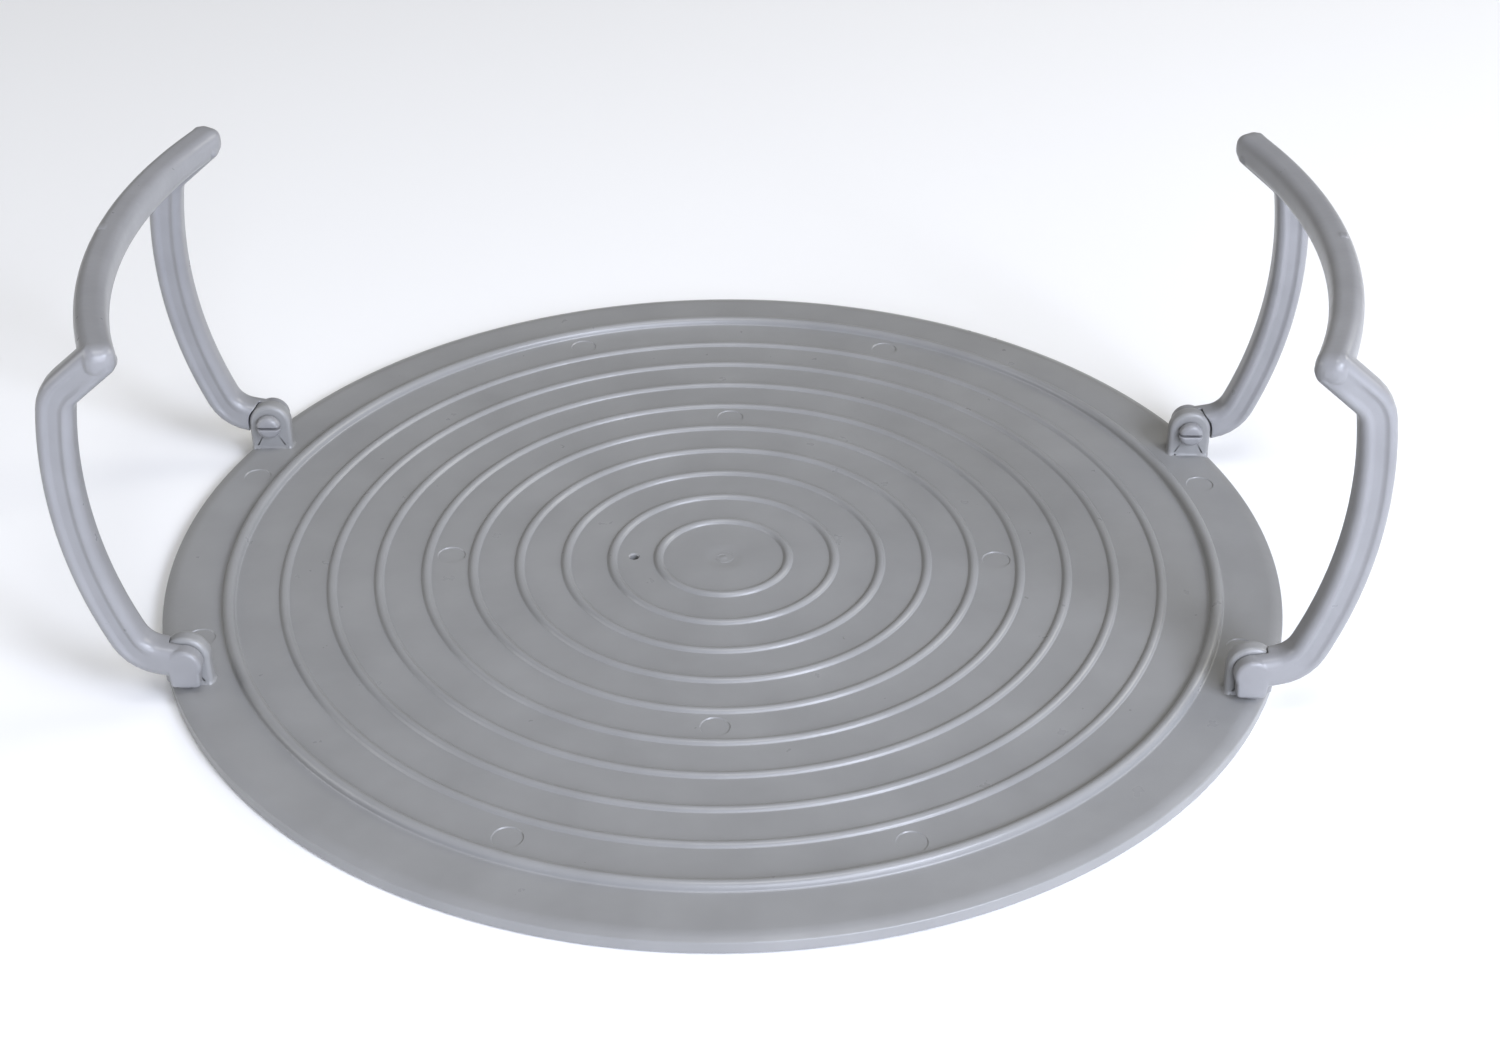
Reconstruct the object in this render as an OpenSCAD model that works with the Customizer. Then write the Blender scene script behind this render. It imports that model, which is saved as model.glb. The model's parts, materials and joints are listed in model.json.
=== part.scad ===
// Round moulded tray with two swing bails. The bails are its handles, and with the tray turned over
// they are the legs that it stands on. Three mouldings: the tray with its four hinge ears, and two
// bails that snap into the ears with split pins of their own.
// Millimetres. The origin is the middle of the ring that the tray rests on, +Z is up and +X runs
// from the left bail to the right one. The bails are drawn fully spread, against their stops.

/* [Tray] */
// Outer diameter of the tray
tray_d = 248; // [246:0.5:256]
// Thickness of the tray's plate
plate_t = 2.2; // [1.8:0.1:2.6]
// Height of the tray's edge above the surface that it rests on
lip_h = 3.5; // [3.2:0.1:5]
// Width of the lip that hangs below the plate at the tray's edge
lip_w = 3.5; // [3:0.1:6]
// Rounding on top of the tray's edge
lip_top_r = 1.6; // [1:0.1:1.7]
// Rounding under the tray's edge
lip_foot_r = 0.8; // [0.4:0.1:1.2]
// Diameter of the small hole near the middle
vent_d = 2; // [1:0.1:4]
// Distance of the small hole from the middle
vent_x = 20.1; // [18:0.1:22]

/* [Ribs] */
// Number of fine ribs on the plate
rib_count = 9; // [4:1:9]
// Radius of the innermost fine rib
rib_first_r = 14.6; // [13:0.1:16]
// Distance from one fine rib to the next
rib_step = 10.38; // [9:0.01:10.4]
// Width of a fine rib
rib_w = 1.7; // [1.2:0.1:2.4]
// Height of a fine rib above the plate
rib_h = 0.7; // [0.4:0.1:0.8]
// Radius of the main rib
main_rib_r = 109.6; // [108:0.1:110]
// Width of the main rib
main_rib_w = 2.5; // [2:0.1:3]
// Height of the main rib above the plate
main_rib_h = 1.7; // [1:0.1:1.8]

/* [Hinges] */
// Distance of each hinge axis from the middle of the tray
hinge_x = 110.2; // [109:0.1:110.4]
// Height of the hinge axes above the surface that the tray rests on
hinge_z = 10.1; // [9.8:0.1:12]
// Radius of the ear's round top about the hinge axis
ear_r = 4.9; // [4.6:0.1:4.9]
// Distance from the middle plane to the ear's near face
ear_y = 45.2; // [44.5:0.1:45.4]
// Thickness of an ear
ear_t = 3.5; // [2.5:0.1:3.6]
// Diameter of the snap pin
pin_d = 4.1; // [3:0.1:4.4]
// Radial play of the pin in its hole
pin_play = 0.05; // [0.02:0.01:0.1]
// Diameter of the pin's head
pin_head_d = 5.6; // [5:0.1:6]
// Length of the pin's head
pin_head_l = 2.2; // [1:0.1:3]
// Width of the slot that splits the pin
pin_slot = 0.9; // [0.5:0.1:1.2]
// Gap between faces that slide past each other
side_gap = 0.25; // [0.15:0.05:0.4]

/* [Bails] */
// Distance from the middle plane to the middle of an arm
arm_y = 48.6; // [48.4:0.1:49]
// Width of an arm, seen along the hinge axis
arm_w = 7.8; // [7:0.1:8.4]
// Thickness of an arm, along the hinge axis
arm_t = 6.9; // [6.6:0.1:7.4]
// Squareness of the arm's section, from an ellipse at 2 to nearly a rectangle at 6
arm_squareness = 3.4; // [2:0.1:6]
// Depth of the flute along each side of an arm
flute_depth = 0.5; // [0.2:0.1:0.8]
// Width of the flute
flute_w = 3.6; // [2:0.1:5]
// Width of the top bar, seen from above
bar_w = 6.9; // [6:0.1:8]
// Height of the top bar
bar_h = 7.4; // [6:0.1:8]
// Rounding along the edges of the top bar
bar_edge_r = 2.5; // [1:0.1:2.9]
// Radius of the top bar's curve, seen from above
bar_r = 132; // [100:1:200]
// Slope of the arm where it leaves the hinge
root_slope = 11; // [8:0.5:14]
// Length of the straight stretch at the hinge
root_run = 5; // [4.5:0.5:8]
// Radius of the bend above the hinge
root_bend_r = 8.3; // [6:0.1:12]
// Angle of the bend above the hinge
root_bend = 56.5; // [50:0.5:60]
// Radius of the arm's long outward bow
bow_r = 100; // [80:1:140]
// Angle that the long bow turns through
bow = 32; // [20:1:34]
// Radius of the elbow below the step
elbow_r = 7.7; // [6:0.1:10]
// Angle of the elbow
elbow = 39.5; // [30:0.5:50]
// Length of the step that leads in to the top bar
step_run = 9.5; // [6:0.5:14]

/* [Hidden] */
$fn = 64;

tray_r = tray_d / 2;
plate_top = lip_h;
plate_bottom = lip_h - plate_t;
bore_d = pin_d + 2 * pin_play;
// the ears reach down into the lip, past its top rounding, and stay this far inside its edge
ear_foot_z = lip_h - lip_top_r;
ear_far_y = ear_y + ear_t;
ear_inset = 0.3;
// the tongue is what is left of an arm beside an ear
tongue_y = ear_far_y + side_gap;
// the round knuckle stands a little out of the arm's edges and in from its faces
knuckle_r = arm_w / 2 + 0.15;
knuckle_inset = 0.15;
// the ball that rounds off the end of an arm, a little below the top bar's flat top
corner_r = bar_h / 2 - 0.1;
// the heel under the knuckle, and its gap to the tray
stop_w = 3;
stop_t = 2;
stop_gap = 0.2;
// how far pieces of one solid run into each other
overlap = 0.5;
// the arm's section has this many sides, and a station at least every so many degrees
section_sides = 24;
station_angle = 7;

grey = [0.66, 0.66, 0.68];

// the arm's path in the upright plane, from the hinge axis up to the top bar
slope_at_bow = root_slope + root_bend;
slope_at_elbow = slope_at_bow + bow;
step_slope = slope_at_elbow + elbow;

// how far a run, or a bend that starts at slope a and turns by b, carries the path, as [x, z]
function run_reach(length, a) = length * [cos(a), sin(a)];
function bend_reach(r, a, b) = r * [sin(a + b) - sin(a), cos(a) - cos(a + b)];

// the stations along a bend after its start, each as [[x, z], slope]
function bend_stations(start, r, a, b) = let (n = ceil(b / station_angle))
    [for (k = [1 : n]) [start + bend_reach(r, a, b * k / n), a + b * k / n]];

hinge = [hinge_x, hinge_z];
root_end = hinge + run_reach(root_run, root_slope);
bow_start = root_end + bend_reach(root_bend_r, root_slope, root_bend);
elbow_start = bow_start + bend_reach(bow_r, slope_at_bow, bow);
step_start = elbow_start + bend_reach(elbow_r, slope_at_elbow, elbow);
bar_end = step_start + run_reach(step_run, step_slope);

arm_stations = concat(
    [[hinge, root_slope], [root_end, root_slope]],
    bend_stations(root_end, root_bend_r, root_slope, root_bend),
    bend_stations(bow_start, bow_r, slope_at_bow, bow),
    bend_stations(elbow_start, elbow_r, slope_at_elbow, elbow),
    [[bar_end, step_slope]]
);

// the arm's section: a soft rectangle, with a shallow flute along the two faces that look along
// the hinge axis; squareness 2 would be an ellipse
function soft(v, squareness) = sign(v) * pow(abs(v), 2 / squareness);
function section_point(a) = let (
    across = arm_w / 2 * soft(cos(a), arm_squareness),
    side = arm_t / 2 * soft(sin(a), arm_squareness),
    flute = flute_depth * max(0, 1 - pow(2 * across / flute_w, 2))
) [across, side - sign(side) * flute];
arm_section = [for (k = [0 : section_sides - 1]) section_point(360 * k / section_sides)];

bar_angle = asin(arm_y / bar_r);
bar_centre_x = bar_end[0] - bar_r * cos(bar_angle);

// ---- tray ----

// Upright half-section of the tray's lip and plate
module plate_section() {
    lip_inner = tray_r - lip_w;
    translate([0, plate_bottom]) square([tray_r - lip_top_r, plate_t]);
    translate([lip_inner, 0]) square([lip_w - lip_foot_r, lip_h - lip_top_r]);
    translate([tray_r - lip_top_r, lip_foot_r]) square([lip_top_r, lip_h - lip_top_r - lip_foot_r]);
    translate([tray_r - lip_foot_r, lip_foot_r]) circle(lip_foot_r);
    translate([tray_r - lip_top_r, lip_h - lip_top_r]) intersection() {
        circle(lip_top_r);
        square(lip_top_r);
    }
}

// Section of a low round-topped rib of the given width and height, at radius r
module rib_section(r, w, h) {
    round_r = (w * w / 4 + h * h) / (2 * h);
    translate([r, plate_top + h - round_r]) circle(round_r);
}

// One hinge ear, an arch-topped plate with the hole for the snap pin
module ear() {
    translate([hinge_x, ear_far_y, 0]) rotate([90, 0, 0]) difference() {
        union() {
            translate([0, hinge_z, 0]) cylinder(h = ear_t, r = ear_r);
            translate([-ear_r, ear_foot_z, 0]) cube([2 * ear_r, hinge_z - ear_foot_z, ear_t]);
        }
        translate([0, hinge_z, -1]) cylinder(h = ear_t + 2, d = bore_d);
    }
}

// The four ears, cut off a little inside the tray's edge
module ears() {
    intersection() {
        for (x = [0, 1], y = [0, 1]) mirror([x, 0, 0]) mirror([0, y, 0]) ear();
        cylinder(h = 2 * hinge_z, r = tray_r - ear_inset, $fn = 180);
    }
}

module tray() {
    color(grey) difference() {
        union() {
            rotate_extrude($fn = 180) plate_section();
            for (i = [0 : rib_count - 1])
                rotate_extrude($fn = 180) rib_section(rib_first_r + i * rib_step, rib_w, rib_h);
            rotate_extrude($fn = 180) rib_section(main_rib_r, main_rib_w, main_rib_h);
            ears();
        }
        translate([-vent_x, 0, -1]) cylinder(h = lip_h + 2, d = vent_d);
    }
}

// ---- bails ----

// Rectangle with round corners, centred
module round_rectangle(w, h, r) {
    square([w - 2 * r, h], center = true);
    square([w, h - 2 * r], center = true);
    for (x = [-1, 1], y = [-1, 1]) translate([x * (w / 2 - r), y * (h / 2 - r)]) circle(r);
}

// One closed solid with the arm's section at every station of its path
module arm_sweep() {
    n = section_sides;
    last = len(arm_stations) - 1;
    points = [for (s = arm_stations, p = arm_section)
        [s[0][0] - p[0] * sin(s[1]), p[1], s[0][1] + p[0] * cos(s[1])]];
    walls = [for (i = [0 : last - 1], k = [0 : n - 1]) let (a = i * n + k, b = i * n + (k + 1) % n)
        each [[a, b, b + n], [a, b + n, a + n]]];
    near_end = [for (k = [n - 1 : -1 : 0]) k];
    far_end = [for (k = [0 : n - 1]) last * n + k];
    polyhedron(points, concat(walls, [near_end, far_end]));
}

// One arm, with a round knuckle about the hinge axis and a round end under the top bar
module arm() {
    translate([0, arm_y, 0]) {
        arm_sweep();
        translate([hinge_x, 0, hinge_z]) rotate([90, 0, 0])
            cylinder(h = arm_t - 2 * knuckle_inset, r = knuckle_r, center = true);
        translate([bar_end[0], 0, bar_end[1]]) sphere(corner_r);
    }
}

// Room for the ear beside the arm's tongue: round above, so that the bail can swing about the ear,
// and square below, where the ear's sides run straight down
module ear_clearance() {
    near_y = arm_y - arm_t;
    room_r = ear_r + side_gap;
    translate([hinge_x, tongue_y, hinge_z]) rotate([90, 0, 0])
        cylinder(h = tongue_y - near_y, r = room_r);
    translate([hinge_x - room_r, near_y, hinge_z - arm_w])
        cube([2 * room_r, tongue_y - near_y, arm_w]);
}

// The split snap pin: its shaft fills the ear's hole, and its head holds it there
module snap_pin() {
    head_y = ear_y - side_gap;
    slot_l = pin_head_l + ear_t / 2;
    translate([hinge_x, 0, hinge_z]) difference() {
        union() {
            translate([0, tongue_y + overlap, 0]) rotate([90, 0, 0])
                cylinder(h = tongue_y + overlap - head_y, d = pin_d);
            translate([0, head_y, 0]) rotate([90, 0, 0])
                cylinder(h = pin_head_l, d1 = pin_head_d, d2 = pin_d);
        }
        translate([-pin_head_d, head_y - pin_head_l, -pin_slot / 2])
            cube([2 * pin_head_d, slot_l, pin_slot]);
    }
}

// The heel under the arm's root, which meets the tray and stops the bail from spreading further
module stop_heel() {
    translate([hinge_x, tongue_y, plate_top + stop_gap])
        cube([stop_w, stop_t, hinge_z - plate_top - stop_gap - arm_w / 4]);
}

module top_bar() {
    translate([bar_centre_x, 0, bar_end[1]]) rotate([0, 0, -bar_angle])
        rotate_extrude(angle = 2 * bar_angle, $fn = 180)
            translate([bar_r, 0]) round_rectangle(bar_w, bar_h, bar_edge_r);
}

module bail() {
    color(grey) {
        for (y = [0, 1]) mirror([0, y, 0]) {
            difference() {
                arm();
                ear_clearance();
            }
            snap_pin();
            stop_heel();
        }
        top_bar();
    }
}

module right_bail() {
    bail();
}

module left_bail() {
    mirror([1, 0, 0]) bail();
}

tray();
left_bail();
right_bail();
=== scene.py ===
"""Looks of a round ribbed tray with two swing bails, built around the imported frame.

Shapes are worked out in millimetres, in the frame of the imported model, and scaled to metres as they
become meshes. Each of the three mouldings is one piece: tray_moulding, left_bail_moulding and
right_bail_moulding.
"""

import json
import math

import bmesh
import bpy
import numpy as np
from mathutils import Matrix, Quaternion, Vector


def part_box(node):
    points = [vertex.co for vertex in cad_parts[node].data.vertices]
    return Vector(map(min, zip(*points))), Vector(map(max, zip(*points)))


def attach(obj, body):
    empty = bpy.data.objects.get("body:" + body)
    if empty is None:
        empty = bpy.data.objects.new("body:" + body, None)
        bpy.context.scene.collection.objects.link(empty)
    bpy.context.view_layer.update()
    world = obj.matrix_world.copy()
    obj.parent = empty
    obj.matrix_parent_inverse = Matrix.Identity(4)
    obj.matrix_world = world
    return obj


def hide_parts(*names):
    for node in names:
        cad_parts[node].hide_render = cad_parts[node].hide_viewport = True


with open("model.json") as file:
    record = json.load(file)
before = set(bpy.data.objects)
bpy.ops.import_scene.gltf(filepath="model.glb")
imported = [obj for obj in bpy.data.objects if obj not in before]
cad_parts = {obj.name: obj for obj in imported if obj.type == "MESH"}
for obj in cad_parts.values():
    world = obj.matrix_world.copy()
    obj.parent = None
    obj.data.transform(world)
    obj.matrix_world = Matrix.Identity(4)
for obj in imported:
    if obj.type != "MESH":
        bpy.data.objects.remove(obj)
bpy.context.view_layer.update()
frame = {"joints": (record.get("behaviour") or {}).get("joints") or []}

MM = 0.001

# ---------------------------------------------------------------- sizes taken from the frame, in mm
tray_r = (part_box("tray")[1] / MM).y
bar_top_z = (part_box("right_bail")[1] / MM).z
hinge = next(j for j in frame["joints"] if j["child"] == "right_bail")["pos_m"]
hinge_x = hinge[0] / MM
hinge_z = hinge[2] / MM

# ---------------------------------------------------------------- sizes of the tray, in mm
PLATE_T = 2.2
PLATE_TOP = 3.5
LIP_W = 3.5
LIP_SLOPE_W = 3.2
LIP_FALL = 0.6
LIP_EDGE_R = 0.35
LIP_FOOT_R = 0.7
RIB_COUNT = 9
RIB_FIRST_R = 14.6
RIB_STEP = 10.38
RIB_W = 2.1
RIB_H = 0.75
MAIN_RIB_R = 109.6
MAIN_RIB_W = 2.5
MAIN_RIB_H = 1.7
VENT_X = 20.1
VENT_D = 2.0
EAR_R = 4.9
EAR_Y = 45.2
EAR_T = 3.5
EAR_EDGE_R = 0.9
EAR_FLARE_R = 0.45
EAR_SUNK = 1.6
BORE_CHAMFER = 0.25
PIN_D = 4.1
SIDE_GAP = 0.25

# ---------------------------------------------------------------- sizes of the bails, in mm
ARM_Y = 48.6
ARM_W = 7.4
ARM_T = 6.9
BAR_W = 6.8
BAR_H = 7.4
BAR_R = 132.0
BAR_RIDGE = 1.2
ROOT_SLOPE = 11.0
ROOT_RUN = 5.0
ROOT_BEND = (8.3, 56.5)
BOW = (100.0, 32.0)
ELBOW = (7.7, 39.5)
STEP_RUN = 9.5


# ---------------------------------------------------------------- meshes
def mesh_object(name, points, faces):
    """A smooth-shaded mesh object from points in mm."""
    mesh = bpy.data.meshes.new(name)
    mesh.from_pydata((np.asarray(points) * MM).tolist(), [], faces)
    mesh.validate()
    mesh.shade_smooth()
    obj = bpy.data.objects.new(name, mesh)
    bpy.context.scene.collection.objects.link(obj)
    return obj


def apply_modifiers(obj):
    """Replaces an object's mesh by what its modifiers make of it."""
    graph = bpy.context.evaluated_depsgraph_get()
    made = bpy.data.meshes.new_from_object(obj.evaluated_get(graph))
    obj.modifiers.clear()
    obj.data = made
    return obj


def boolean(obj, other, operation):
    """Unites obj with other, or cuts other out of it, and removes other."""
    cut = obj.modifiers.new("boolean", "BOOLEAN")
    cut.operation = operation
    cut.solver = "MANIFOLD"
    cut.object = other
    apply_modifiers(obj)
    bpy.data.objects.remove(other)
    return obj


def grid_faces(rows, columns, close_rows=False, close_columns=True, flip=False):
    """Quads over a grid of rows x columns points, closed round one way or both."""
    faces = []
    for i in range(rows if close_rows else rows - 1):
        for k in range(columns if close_columns else columns - 1):
            a = i * columns + k
            b = i * columns + (k + 1) % columns
            c = (i + 1) % rows * columns + (k + 1) % columns
            d = (i + 1) % rows * columns + k
            faces.append((a, d, c, b) if flip else (a, b, c, d))
    return faces


def lathe(name, profile, segments):
    """A closed solid turned about Z, from a profile of (r, z) points that runs from top to bottom."""
    inner = profile[1:-1]
    angles = np.arange(segments) * 2 * math.pi / segments
    points = [(r * math.cos(a), r * math.sin(a), z) for r, z in inner for a in angles]
    faces = grid_faces(len(inner), segments, flip=True)
    top = len(points)
    bottom = top + 1
    points += [(0, 0, profile[0][1]), (0, 0, profile[-1][1])]
    last = (len(inner) - 1) * segments
    for k in range(segments):
        after = (k + 1) % segments
        faces.append((k, after, top))
        faces.append((last + after, last + k, bottom))
    return mesh_object(name, points, faces)


def sweep(name, rings, flip=False):
    """A closed tube over rings of points, with a flat fan at each end."""
    rings = np.asarray(rings, float)
    count, sides = rings.shape[:2]
    points = rings.reshape(-1, 3).tolist()
    faces = grid_faces(count, sides, flip=flip)
    near = len(points)
    far = near + 1
    points += [rings[0].mean(0).tolist(), rings[-1].mean(0).tolist()]
    last = (count - 1) * sides
    for k in range(sides):
        after = (k + 1) % sides
        near_face = (k, near, after)
        far_face = (last + k, last + after, far)
        faces.append(near_face[::-1] if flip else near_face)
        faces.append(far_face[::-1] if flip else far_face)
    return mesh_object(name, points, faces)


def arc(cx, cy, r, start, end, steps):
    """Points of an arc about (cx, cy), from one angle to another in degrees, both ends included."""
    return [(cx + r * math.cos(math.radians(a)), cy + r * math.sin(math.radians(a)))
            for a in np.linspace(start, end, steps)]


# ---------------------------------------------------------------- tray
def rib_outline(r, w, h, foot_r):
    """Outline of a round-topped rib with filleted feet, as (r, z) points from its near side on."""
    top_r = (w * w / 4 + h * h) / (2 * h)
    rise = foot_r + top_r - h
    foot_x = math.sqrt((top_r + foot_r) ** 2 - rise ** 2)
    turn = math.degrees(math.acos(rise / (top_r + foot_r)))
    foot = arc(r - foot_x, PLATE_TOP + foot_r, foot_r, -90, turn - 90, 5)
    crown = arc(r, PLATE_TOP + h - top_r, top_r, 90 + turn, 90 - turn, 11)
    far_foot = [(2 * r - x, z) for x, z in reversed(foot)]
    return foot + crown[1:-1] + far_foot


def tray_profile():
    """The tray's half-section from the top of its axis, round the lip, to the bottom of its axis."""
    gate_r, gate_sink, gate_pip, draft = 3.2, 0.06, 0.1, 0.1
    rib_foot_r, main_rib_foot_r = 0.3, 0.45
    sunk_z = PLATE_TOP - gate_sink
    top = [(0, PLATE_TOP + gate_pip), (0.3, PLATE_TOP + gate_pip * 0.8), (0.6, PLATE_TOP + gate_pip * 0.2)]
    top += [(0.9, sunk_z), (gate_r - 0.2, sunk_z), (gate_r + 0.1, PLATE_TOP)]
    ribs = [(RIB_FIRST_R + i * RIB_STEP, RIB_W, RIB_H, rib_foot_r) for i in range(RIB_COUNT)]
    ribs.append((MAIN_RIB_R, MAIN_RIB_W, MAIN_RIB_H, main_rib_foot_r))
    for rib in ribs:
        outline = rib_outline(*rib)
        gap = outline[0][0] - top[-1][0]
        top += [(top[-1][0] + gap * k / 4, PLATE_TOP) for k in (1, 2, 3)]
        top += outline
    lip_start = tray_r - LIP_SLOPE_W
    top += [(top[-1][0] + (lip_start - top[-1][0]) * k / 5, PLATE_TOP) for k in (1, 2, 3, 4, 5)]
    edge_r = tray_r - draft - LIP_EDGE_R
    edge_z = PLATE_TOP - LIP_FALL - LIP_EDGE_R
    for k in range(1, 8):
        t = k / 8
        top.append((lip_start + (edge_r - lip_start) * t, PLATE_TOP - LIP_FALL * t * t))
    lip = arc(edge_r, edge_z, LIP_EDGE_R, 70, 0, 5)
    lip += arc(tray_r - LIP_FOOT_R, LIP_FOOT_R, LIP_FOOT_R, 0, -90, 6)
    under_z = PLATE_TOP - PLATE_T
    wall_r = tray_r - LIP_W
    foot_round, corner_round = 0.4, 0.6
    under = [(wall_r + (LIP_W - LIP_FOOT_R) / 2, 0)]
    under += arc(wall_r + foot_round, foot_round, foot_round, -90, -180, 4)
    under += arc(wall_r - corner_round, under_z - corner_round, corner_round, 0, 90, 4)
    under += [(wall_r * k / 8, under_z) for k in range(7, 0, -1)]
    return top + lip + under + [(0, under_z)]


def ear_outline():
    """The ear's side view about its pin, as rows of x, z and the outward normal."""
    drop = hinge_z - PLATE_TOP + EAR_SUNK
    rows = [(EAR_R * x, EAR_R * z, x, z) for x, z in arc(0, 0, 1, 0, 180, 37)]
    rows += [(-EAR_R, -drop * k / 16, -1, 0) for k in range(1, 16)]
    rows += [(EAR_R * (k / 8 - 1), -drop, 0, 0) for k in range(0, 17)]
    rows += [(EAR_R, -drop * k / 16, 1, 0) for k in range(15, 0, -1)]
    return np.array(rows)


def ear_ring(flat, normal, y, lean):
    """One ring of points round the ear's bore or outside, pushed outwards where its foot flares.

    Lean is the way that a face looks along the hinge axis, and 0 on the ear's narrow sides.
    """
    x = flat[:, 0]
    z = flat[:, 1] + hinge_z
    above = np.clip(PLATE_TOP + EAR_FLARE_R - z, 0, EAR_FLARE_R)
    grow = EAR_FLARE_R - np.sqrt(EAR_FLARE_R ** 2 - above ** 2)
    is_side = np.abs(normal[:, 0]) > 0.99
    x = x + grow * np.sign(normal[:, 0]) * (1 - abs(lean)) * is_side
    return np.stack([hinge_x + x, np.full(len(x), y) + lean * grow, z], 1)


def ear_face(place, normal, outwards, y, lean):
    """Rings over one face of the ear, from its bore's chamfer to its round edge, as (points, y, lean)."""
    start = outwards * (PIN_D / 2 + 0.1 + BORE_CHAMFER)
    end = place - normal * EAR_EDGE_R
    rings = [(start * (1 - k / 16) + end * k / 16, y, lean) for k in range(17)]
    for a in np.radians((22, 45, 67)):
        inset = EAR_EDGE_R * (1 - math.sin(a))
        rings.append((place - normal * inset, y - lean * EAR_EDGE_R * (1 - math.cos(a)), lean))
    return rings


def ear(x_side, y_side):
    """One hinge ear with its bore, round edges and a flare where it grows out of the plate."""
    outline = ear_outline()
    place = outline[:, :2]
    normal = outline[:, 2:]
    outwards = place / np.linalg.norm(place, axis=1, keepdims=True)
    bore = outwards * (PIN_D / 2 + 0.1)
    y_far = EAR_Y + EAR_T
    rows = [(bore, EAR_Y + BORE_CHAMFER, 0)]
    rows += ear_face(place, normal, outwards, EAR_Y, -1)
    rows += [(place, EAR_Y + EAR_EDGE_R + (EAR_T - 2 * EAR_EDGE_R) * k / 3, 0) for k in range(4)]
    rows += ear_face(place, normal, outwards, y_far, 1)[::-1]
    rows.append((bore, y_far - BORE_CHAMFER, 0))
    rings = np.array([ear_ring(flat, normal, y, lean) for flat, y, lean in rows])
    rim_gap = 0.35
    reach = np.hypot(rings[..., 0], rings[..., 1])
    inward = np.minimum(1, (tray_r - rim_gap) / reach)[..., None]
    low = (rings[..., 2] < PLATE_TOP + EAR_FLARE_R)[..., None]
    rings[..., :2] = np.where(low, rings[..., :2] * inward, rings[..., :2])
    rings *= (x_side, y_side, 1)
    faces = grid_faces(len(rings), rings.shape[1], close_rows=True, flip=x_side * y_side < 0)
    return mesh_object("ear", rings.reshape(-1, 3), faces)


def disc_cutter(x, y, r, depth, slope):
    """A shallow cone frustum that sinks a round mark into the plate's top."""
    low_z, high_z = PLATE_TOP - depth, PLATE_TOP + depth
    outline = [(r - 3 * slope, low_z), (r - slope, low_z), (r + slope, high_z)]
    rings = [[(x + wide * math.cos(a), y + wide * math.sin(a), z) for a in np.arange(64) * math.pi / 32]
             for wide, z in outline]
    return sweep("cutter", rings)


def tray():
    """The round plate with its ribs and lip, and the four ears grown onto it."""
    segments = 270
    obj = lathe("tray_moulding", tray_profile(), segments)
    for x_side in (1, -1):
        for y_side in (1, -1):
            boolean(obj, ear(x_side, y_side), "UNION")
    return obj


def sink_marks(obj):
    """The round marks that the mould's ejector pins left, and the small hole beside the middle."""
    mark_depth, mark_r, mark_slope = 0.24, 3.2, 0.2
    inner_r = RIB_FIRST_R + 4.5 * RIB_STEP
    outer_r = (RIB_FIRST_R + 8 * RIB_STEP + MAIN_RIB_R) / 2
    band_x, band_y = hinge_x + 1.1, EAR_Y - 12.9
    band_r = math.hypot(band_x, band_y)
    band_a = math.degrees(math.atan2(band_y, band_x))
    places = [(inner_r, a) for a in (0, 90, 180, 270)] + [(outer_r, a) for a in (68, 112, 248, 292)]
    places += [(band_r, a) for a in (band_a, 180 - band_a, 180 + band_a, -band_a)]
    for r, a in places:
        x = r * math.cos(math.radians(a))
        y = r * math.sin(math.radians(a))
        boolean(obj, disc_cutter(x, y, mark_r, mark_depth, mark_slope), "DIFFERENCE")
    vent_r, mouth_r = VENT_D / 2, VENT_D / 2 + 0.35
    outline = [(vent_r, 0), (vent_r, PLATE_TOP - 0.3)]
    outline += [(mouth_r, PLATE_TOP + 0.05), (mouth_r, PLATE_TOP + 1)]
    hole = [[(-VENT_X + r * math.cos(a), r * math.sin(a), z) for a in np.arange(32) * math.pi / 16]
            for r, z in outline]
    boolean(obj, sweep("cutter", hole), "DIFFERENCE")


def gate_swirl(obj):
    """The low curl of plastic that the mould's gate left in its round recess in the middle."""
    turns, start_r, end_r, thick = 1.3, 0.9, 2.6, 0.12
    rings = []
    for t in np.linspace(0, 1, 60):
        a = 2 * math.pi * turns * t
        r = start_r + (end_r - start_r) * t
        size = thick * math.sin(math.pi * (0.04 + 0.92 * t)) ** 0.5
        rings.append([((r + size * math.cos(b)) * math.cos(a), (r + size * math.cos(b)) * math.sin(a),
                       PLATE_TOP - 0.09 + size * math.sin(b)) for b in np.arange(8) * math.pi / 4])
    boolean(obj, sweep("swirl", rings, flip=True), "UNION")


def keep_flats_flat(obj):
    """Drops the slivers that the cuts left, and weights the normals so that the large flats look flat."""
    clean = bmesh.new()
    clean.from_mesh(obj.data)
    bmesh.ops.dissolve_degenerate(clean, edges=clean.edges[:], dist=0.002 * MM)
    clean.to_mesh(obj.data)
    clean.free()
    obj.data.shade_smooth()
    obj.data.set_sharp_from_angle(angle=math.radians(40))
    normals = obj.modifiers.new("normals", "WEIGHTED_NORMAL")
    normals.keep_sharp = True
    apply_modifiers(obj)


# ---------------------------------------------------------------- bails
def arm_path(step=1.6):
    """Stations of the arm's path in its upright plane, as (x, z, slope in radians)."""
    x, z, slope = hinge_x, hinge_z, math.radians(ROOT_SLOPE)
    stations = [(x, z, slope)]
    pieces = [(None, ROOT_RUN), ROOT_BEND, BOW, ELBOW, (None, STEP_RUN)]
    for r, amount in pieces:
        if r is None:
            count = max(2, round(amount / step))
            for _ in range(count):
                x += math.cos(slope) * amount / count
                z += math.sin(slope) * amount / count
                stations.append((x, z, slope))
        else:
            turn = math.radians(amount)
            count = max(4, round(r * turn / step))
            start_x, start_z, start = x, z, slope
            for k in range(1, count + 1):
                slope = start + turn * k / count
                x = start_x + r * (math.sin(slope) - math.sin(start))
                z = start_z + r * (math.cos(start) - math.cos(slope))
                stations.append((x, z, slope))
    return stations


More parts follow.
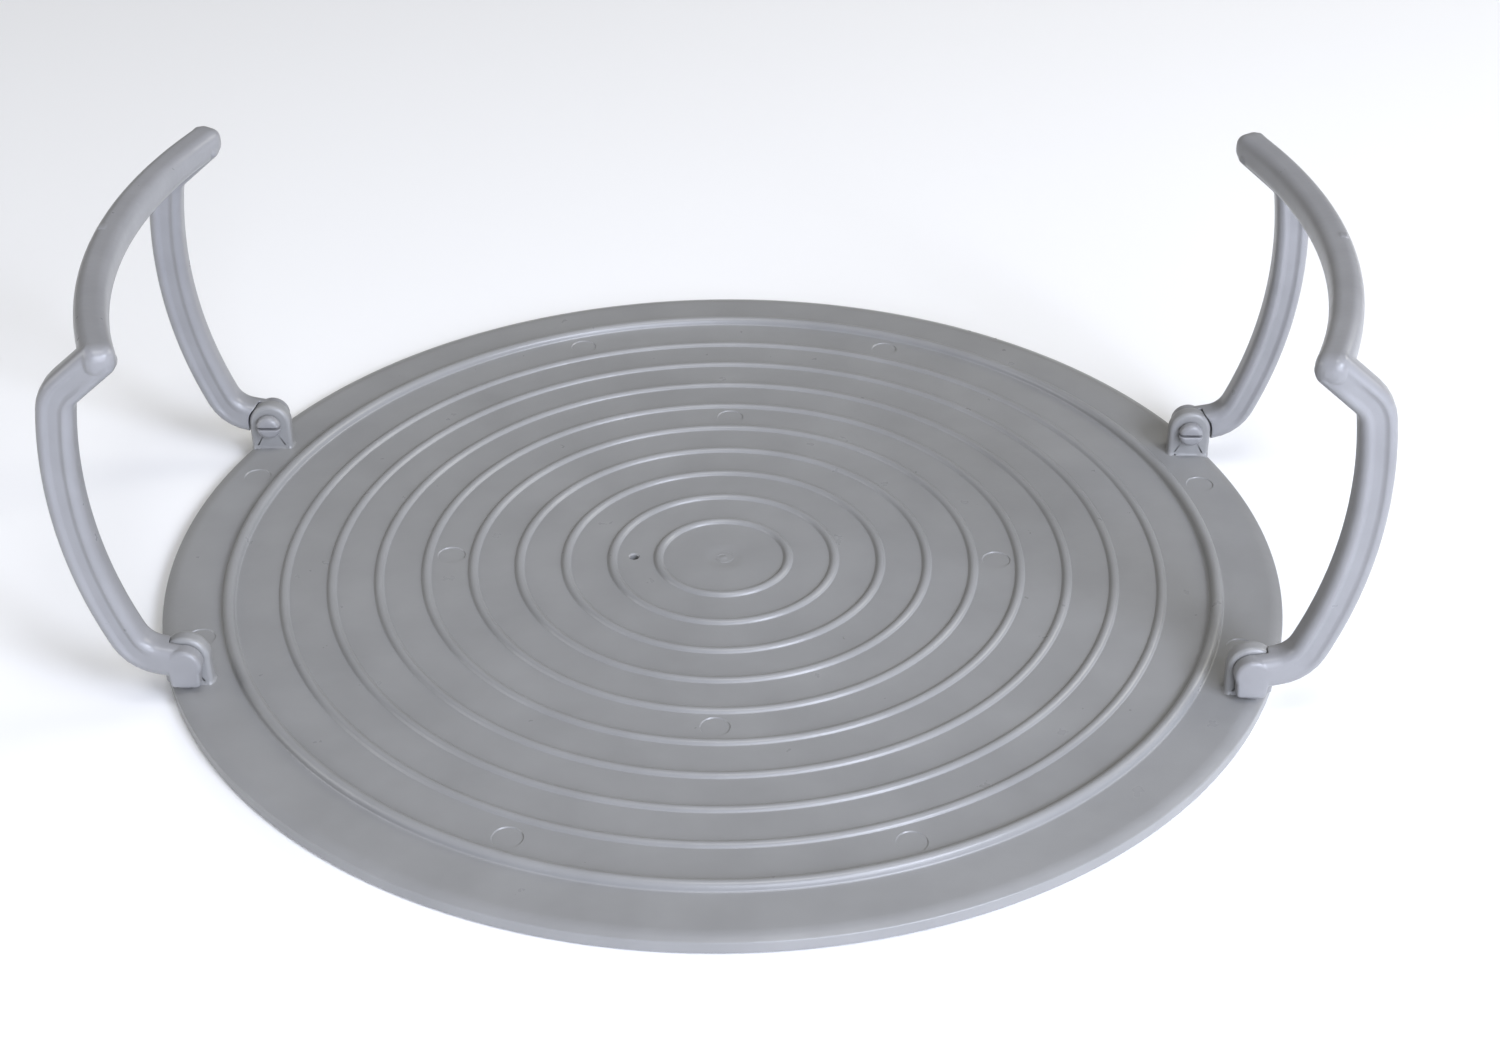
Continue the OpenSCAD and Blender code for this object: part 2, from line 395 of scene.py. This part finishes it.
def smooth_step(t):
    """Eases from 0 to 1 as t goes from 0 to 1."""
    t = min(1, max(0, t))
    return t * t * (3 - 2 * t)


def arm_section(flute_depth, sides=72, squareness=3.4):
    """The arm's section as (across, along the hinge axis), with a flute in both side faces."""
    flute_half, wall = 0.9, 1.2
    section = []
    for k in range(sides):
        a = 2 * math.pi * k / sides
        c, s = math.cos(a), math.sin(a)
        across = ARM_W / 2 * math.copysign(abs(c) ** (2 / squareness), c)
        side = ARM_T / 2 * math.copysign(abs(s) ** (2 / squareness), s)
        dip = flute_depth * (1 - smooth_step((abs(across) - flute_half) / wall))
        section.append((across, side - math.copysign(dip, s)))
    return section


def round_end(left, length):
    """How wide a bar still is where this much of it is left before its rounded end."""
    squareness, least = 2.6, 0.25
    t = 1 - min(1, max(0, left / length))
    return max(least, (1 - t ** squareness) ** (1 / squareness))


def arm(y_side):
    """One arm with a rounded upper end, and with the room for the ear cut out of its root."""
    stations = arm_path()
    x, z, slope = stations[-1]
    past_end = (0.5, 1, 1.4, 1.7, 1.9, 2.1, 2.2)
    stations += [(x + t * math.cos(slope), z + t * math.sin(slope), slope) for t in past_end]
    flute_depth, fade, end_round = 0.65, 9.0, 1.6
    travelled = np.cumsum([0] + [math.dist(a[:2], b[:2]) for a, b in zip(stations, stations[1:])])
    rings = []
    for (x, z, slope), s in zip(stations, travelled):
        left = travelled[-1] - s
        depth = flute_depth * smooth_step((s - 4) / fade) * smooth_step((left - 2) / fade)
        size = round_end(left, end_round)
        rings.append([(x - size * across * math.sin(slope), y_side * (ARM_Y + size * side),
                       min(z + size * across * math.cos(slope), bar_top_z - 0.2))
                      for across, side in arm_section(depth)])
    obj = sweep("arm", rings, flip=y_side > 0)
    near = ARM_Y - ARM_T
    far = EAR_Y + EAR_T + SIDE_GAP
    room_r = EAR_R + SIDE_GAP
    outline = arc(0, 0, room_r, 0, 180, 33) + [(-room_r, -hinge_z), (room_r, -hinge_z)]
    room = [[(hinge_x + x, y_side * y, hinge_z + z) for x, z in outline] for y in (near, far)]
    return boolean(obj, sweep("room", room, flip=y_side > 0), "DIFFERENCE")


def turned_about_hinge(name, y_side, outline, sides=64):
    """A closed solid turned about the hinge axis, from (y, r) points."""
    turn = np.arange(sides) * 2 * math.pi / sides
    rings = [[(hinge_x + r * math.cos(a), y_side * y, hinge_z + r * math.sin(a)) for a in turn]
             for y, r in outline]
    return sweep(name, rings, flip=y_side > 0)


def knuckle(y_side):
    """The round end of the tongue, beside the ear."""
    r, round_r = 3.85, 0.9
    near = EAR_Y + EAR_T + SIDE_GAP
    far = ARM_Y + ARM_T / 2
    outline = [(near, r)] + arc(far - round_r, r - round_r, round_r, 90, 0, 7)
    return turned_about_hinge("knuckle", y_side, outline)


def snap_pin(y_side):
    """The pin that fills the ear's bore, with its split and domed head."""
    pin_r = PIN_D / 2 - 0.08
    head_r, head_l, round_r = 2.9, 2.3, 1.2
    inner = EAR_Y - SIDE_GAP
    root = EAR_Y + EAR_T + SIDE_GAP + 0.8
    outline = [(inner - head_l, head_r - round_r)]
    outline += arc(inner - head_l + round_r, head_r - round_r, round_r, 180, 90, 7)
    outline += [(inner - 0.3, head_r), (inner, head_r - 0.3), (inner + 0.01, pin_r), (root, pin_r)]
    pin = turned_about_hinge("pin", y_side, outline)
    slot_x, slot_z = 4, 0.3
    depth = head_l + EAR_T / 2
    corners = ((-slot_x, -slot_z), (slot_x, -slot_z), (slot_x, slot_z), (-slot_x, slot_z))
    box = [[(hinge_x + x, y_side * y, hinge_z + z) for x, z in corners]
           for y in (inner - head_l - 1, inner - head_l + depth)]
    return boolean(pin, sweep("slot", box, flip=y_side > 0), "DIFFERENCE")


def round_corners(corners, steps=8):
    """A convex outline from (x, z, radius) corners in order, as rows of x, z and the outward normal."""
    rows = []
    count = len(corners)
    for i, (x, z, r) in enumerate(corners):
        here = np.array((x, z), float)
        back = np.array(corners[i - 1][:2]) - here
        ahead = np.array(corners[(i + 1) % count][:2]) - here
        back /= np.linalg.norm(back)
        ahead /= np.linalg.norm(ahead)
        middle = (back + ahead) / np.linalg.norm(back + ahead)
        half = math.acos(np.clip(back @ ahead, -1, 1)) / 2
        centre = here + middle * r / math.sin(half)
        first = math.atan2(*(back * math.cos(half) * r / math.sin(half) + here - centre)[::-1])
        turn = math.pi - 2 * half
        for t in np.linspace(0, turn, steps):
            normal = (math.cos(first + t), math.sin(first + t))
            rows.append((centre[0] + r * normal[0], centre[1] + r * normal[1], *normal))
    return np.array(rows)


def rounded_slab(name, corners, y_low, y_high, edge_r, y_side=1):
    """A slab with a round-cornered outline in the upright plane and round edges at both faces."""
    rows = round_corners(corners)
    place, normal = rows[:, :2], rows[:, 2:]
    rings = []
    angles = np.radians((90, 72, 54, 36, 18, 0))
    ends = [(y_low + edge_r * (1 - math.sin(a)), edge_r * (1 - math.cos(a))) for a in angles]
    ends += [(y_high - edge_r * (1 - math.sin(a)), edge_r * (1 - math.cos(a))) for a in angles[::-1]]
    for y, inset in ends:
        flat = place - normal * inset
        rings.append([(x, y_side * y, z) for x, z in flat])
    return sweep(name, rings, flip=y_side < 0)


def bar_section(sides=64, squareness=2.8):
    """The top bar's section as (outward, up): a soft oblong with a low ridge along its top."""
    ridge_h, ridge_w, crest = 0.25, 1.8, 0.32
    section = []
    for k in range(sides):
        a = 2 * math.pi * k / sides
        c, s = math.cos(a), math.sin(a)
        outward = BAR_W / 2 * math.copysign(abs(c) ** (2 / squareness), c)
        up = (BAR_H / 2 - crest) * math.copysign(abs(s) ** (2 / squareness), s)
        if up > 0:
            up += ridge_h * max(0, 1 - abs(outward - BAR_RIDGE) / ridge_w)
        section.append((outward, up))
    return np.array(section)


def top_bar(bar_z, centre_x):
    """The curved bar. It runs right through the arms and ends in a round nose on their outer faces."""
    tip_y, round_l, taper_l, taper = ARM_Y + ARM_T / 2 + 0.25, 3.8, 9.0, 0.08
    tip = math.asin(tip_y / BAR_R)
    inward = np.array([0, 0.02, 0.06, 0.12, 0.2, 0.3, 0.42, 0.56, 0.75, 1]) * round_l / BAR_R
    middle = np.linspace(-tip + inward[-1], tip - inward[-1], 56)[1:-1]
    angles = [-tip + a for a in inward] + list(middle) + [tip - a for a in inward[::-1]]
    rings = []
    for a in angles:
        left = (tip - abs(a)) * BAR_R
        section = bar_section() * round_end(left, round_l)
        low = 1 - taper * smooth_step(1 - left / taper_l)
        rings.append([(centre_x + (BAR_R + o) * math.cos(a), (BAR_R + o) * math.sin(a),
                       bar_z + BAR_H / 2 - (BAR_H / 2 - up) * low) for o, up in section])
    return sweep("bar", rings)


def knuckle_base(y_side):
    """The square lower half of a knuckle, which reaches down to just above the plate."""
    near_y = EAR_Y + EAR_T + SIDE_GAP
    low_z = hinge_z - 5.3
    corners = [(hinge_x + 3.4, hinge_z, 0.5), (hinge_x - 3.4, hinge_z, 0.5),
               (hinge_x - 3.0, low_z, 0.9), (hinge_x + 3.0, low_z, 0.9)]
    return rounded_slab("knuckle_base", corners, near_y, ARM_Y + ARM_T / 2, 0.6, y_side)


def heel(y_side):
    """The heel under a knuckle, which meets the tray and stops the bail from spreading further."""
    near_y = EAR_Y + EAR_T + SIDE_GAP
    low_z = PLATE_TOP + 0.2
    high_z = hinge_z - 4.0
    corners = [(hinge_x + 2.2, high_z, 0.4), (hinge_x - 1.0, high_z, 0.4),
               (hinge_x - 0.8, low_z, 0.4), (hinge_x + 2.0, low_z, 0.4)]
    return rounded_slab("heel", corners, near_y, near_y + 1.8, 0.4, y_side)


def gate_nub(centre_x):
    """The small scar of the mould's gate on the ridge of the top bar."""
    x = centre_x + BAR_R + BAR_RIDGE
    top_z = bar_top_z - 0.02
    half_w, half_l, tall, round_r = 0.8, 1.0, 1.5, 0.2
    corners = [(x + half_w, top_z, round_r), (x - half_w, top_z, round_r),
               (x - half_w, top_z - tall, round_r), (x + half_w, top_z - tall, round_r)]
    return rounded_slab("nub", corners, -half_l, half_l, round_r)


def bail(name):
    """The right-hand bail: every part of the moulding melted together, with soft moulded blends."""
    end_x = arm_path()[-1][0]
    bar_z = bar_top_z - BAR_H / 2
    bar_angle = math.asin(ARM_Y / BAR_R)
    centre_x = end_x - BAR_R * math.cos(bar_angle)
    parts = [top_bar(bar_z, centre_x), gate_nub(centre_x)]
    for y_side in (1, -1):
        parts += [arm(y_side), knuckle(y_side), knuckle_base(y_side), heel(y_side), snap_pin(y_side)]
    obj = parts[0]
    merged = bmesh.new()
    for part in parts:
        merged.from_mesh(part.data)
    merged.to_mesh(obj.data)
    merged.free()
    for part in parts[1:]:
        bpy.data.objects.remove(part)
    melt = obj.modifiers.new("melt", "REMESH")
    melt.mode = "VOXEL"
    melt.voxel_size = 0.2 * MM
    melt.use_smooth_shade = True
    soften = obj.modifiers.new("soften", "SMOOTH")
    soften.factor = 0.5
    soften.iterations = 3
    thin = obj.modifiers.new("thin", "DECIMATE")
    thin.ratio = 0.3
    apply_modifiers(obj)
    obj.name = name
    return obj


def mirrored(obj, name):
    """A copy of obj mirrored about the plane x = 0."""
    mesh = obj.data.copy()
    made = bmesh.new()
    made.from_mesh(mesh)
    for v in made.verts:
        v.co.x = -v.co.x
    bmesh.ops.reverse_faces(made, faces=made.faces[:])
    made.to_mesh(mesh)
    made.free()
    copy = bpy.data.objects.new(name, mesh)
    bpy.context.scene.collection.objects.link(copy)
    return copy


# ---------------------------------------------------------------- materials
def moulded_plastic(name, colour, cloud_scale):
    """Satin moulded plastic: faint clouds of tone, uneven gloss and a very fine grain."""
    mat = bpy.data.materials.new(name)
    mat.use_nodes = True
    nodes, links = mat.node_tree.nodes, mat.node_tree.links
    shader = nodes["Principled BSDF"]
    shader.inputs["IOR"].default_value = 1.49
    place = nodes.new("ShaderNodeTexCoord")

    def noise(scale, detail):
        """A noise over the surface, with this many bumps to the metre."""
        node = nodes.new("ShaderNodeTexNoise")
        node.inputs["Scale"].default_value = scale
        node.inputs["Detail"].default_value = detail
        links.new(place.outputs["Object"], node.inputs["Vector"])
        return node.outputs["Fac"]

    tones = nodes.new("ShaderNodeValToRGB")
    darker = [channel * 0.94 for channel in colour]
    lighter = [channel * 1.05 for channel in colour]
    tones.color_ramp.elements[0].position = 0.3
    tones.color_ramp.elements[0].color = (*darker, 1)
    tones.color_ramp.elements[1].position = 0.7
    tones.color_ramp.elements[1].color = (*lighter, 1)
    links.new(noise(cloud_scale, 3), tones.inputs["Fac"])
    links.new(tones.outputs["Color"], shader.inputs["Base Color"])

    gloss = nodes.new("ShaderNodeMapRange")
    gloss.inputs["To Min"].default_value = 0.24
    gloss.inputs["To Max"].default_value = 0.36
    links.new(noise(cloud_scale * 3, 4), gloss.inputs["Value"])
    links.new(gloss.outputs["Result"], shader.inputs["Roughness"])

    ripple = nodes.new("ShaderNodeBump")
    ripple.inputs["Strength"].default_value = 0.35
    ripple.inputs["Distance"].default_value = 0.00025
    links.new(noise(220, 2), ripple.inputs["Height"])
    grain = nodes.new("ShaderNodeBump")
    grain.inputs["Strength"].default_value = 0.15
    grain.inputs["Distance"].default_value = 0.00004
    links.new(noise(2600, 2), grain.inputs["Height"])
    links.new(ripple.outputs["Normal"], grain.inputs["Normal"])
    links.new(grain.outputs["Normal"], shader.inputs["Normal"])
    return mat


def floor_material():
    """Plain pale matt paint."""
    mat = bpy.data.materials.new("pale_floor")
    mat.use_nodes = True
    shader = mat.node_tree.nodes["Principled BSDF"]
    shader.inputs["Base Color"].default_value = (0.93, 0.93, 0.93, 1)
    shader.inputs["Roughness"].default_value = 0.9
    shader.inputs["Specular IOR Level"].default_value = 0.1
    return mat


# ---------------------------------------------------------------- stage
def area_light(name, towards, size, power, colour):
    """A square soft light that shines on the tray from the given direction."""
    distance = 1.3
    data = bpy.data.lights.new(name, "AREA")
    data.size = size
    data.energy = power
    data.color = colour
    obj = bpy.data.objects.new(name, data)
    direction = Vector(towards).normalized()
    obj.location = direction * distance
    obj.rotation_mode = "QUATERNION"
    obj.rotation_quaternion = direction.to_track_quat("Z", "Y")
    bpy.context.scene.collection.objects.link(obj)
    return obj


def stage():
    """The pale floor, the even studio surroundings and the soft lights."""
    reach = 4000
    corners = [(-reach, -reach, 0), (reach, -reach, 0), (reach, reach, 0), (-reach, reach, 0)]
    plane = mesh_object("floor", corners, [(0, 1, 2, 3)])
    plane.data.materials.append(floor_material())
    world = bpy.data.worlds.new("studio")
    bpy.context.scene.world = world
    world.use_nodes = True
    sky = world.node_tree.nodes["Background"]
    sky.inputs["Color"].default_value = (1.0, 0.98, 0.94, 1)
    sky.inputs["Strength"].default_value = 0.22
    lavender, white, warm = (0.8, 0.85, 1.0), (1.0, 1.0, 1.0), (1.0, 0.98, 0.9)
    area_light("key", (0.6, -0.58, 0.6), 0.45, 10, lavender)
    area_light("front", (0.4, -0.92, 0.36), 0.9, 17, lavender)
    area_light("ceiling", (0.1, -0.2, 1.0), 0.45, 4, white)
    area_light("right_back", (0.75, 0.35, 0.5), 0.6, 4.5, warm)
    area_light("left_fill", (-1.0, -0.1, 0.4), 0.6, 3, white)
    bpy.context.scene.view_settings.view_transform = "Standard"


def camera():
    """The camera looks down at the tray from the front, a little from the right."""
    lens, sensor = 57.68, 36.0
    aim = Vector((5.7, 15.3, PLATE_TOP)) * MM
    distance, azimuth, elevation, roll = 0.5537, 1.15, 33.41, -0.145
    a, e = math.radians(azimuth), math.radians(elevation)
    back = Vector((math.sin(a) * math.cos(e), -math.cos(a) * math.cos(e), math.sin(e)))
    data = bpy.data.cameras.new("camera")
    data.lens = lens
    data.sensor_width = sensor
    obj = bpy.data.objects.new("camera", data)
    obj.location = aim + back * distance
    look = (-back).to_track_quat("-Z", "Y")
    obj.rotation_mode = "QUATERNION"
    obj.rotation_quaternion = Quaternion(back, math.radians(roll)) @ look
    bpy.context.scene.collection.objects.link(obj)
    bpy.context.scene.camera = obj


# ---------------------------------------------------------------- the object
tray_piece = tray()
sink_marks(tray_piece)
gate_swirl(tray_piece)
keep_flats_flat(tray_piece)
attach(tray_piece, "tray")
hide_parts("tray")

right_piece = bail("right_bail_moulding")
left_piece = mirrored(right_piece, "left_bail_moulding")
for piece, node in ((right_piece, "right_bail"), (left_piece, "left_bail")):
    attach(piece, node)
    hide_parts(node)

tray_plastic = moulded_plastic("tray_plastic", (0.265, 0.265, 0.264), 60)
bail_plastic = moulded_plastic("bail_plastic", (0.26, 0.26, 0.267), 90)
finishes = ((tray_piece, tray_plastic), (right_piece, bail_plastic), (left_piece, bail_plastic))
for piece, material in finishes:
    piece.data.materials.clear()
    piece.data.materials.append(material)

stage()
camera()
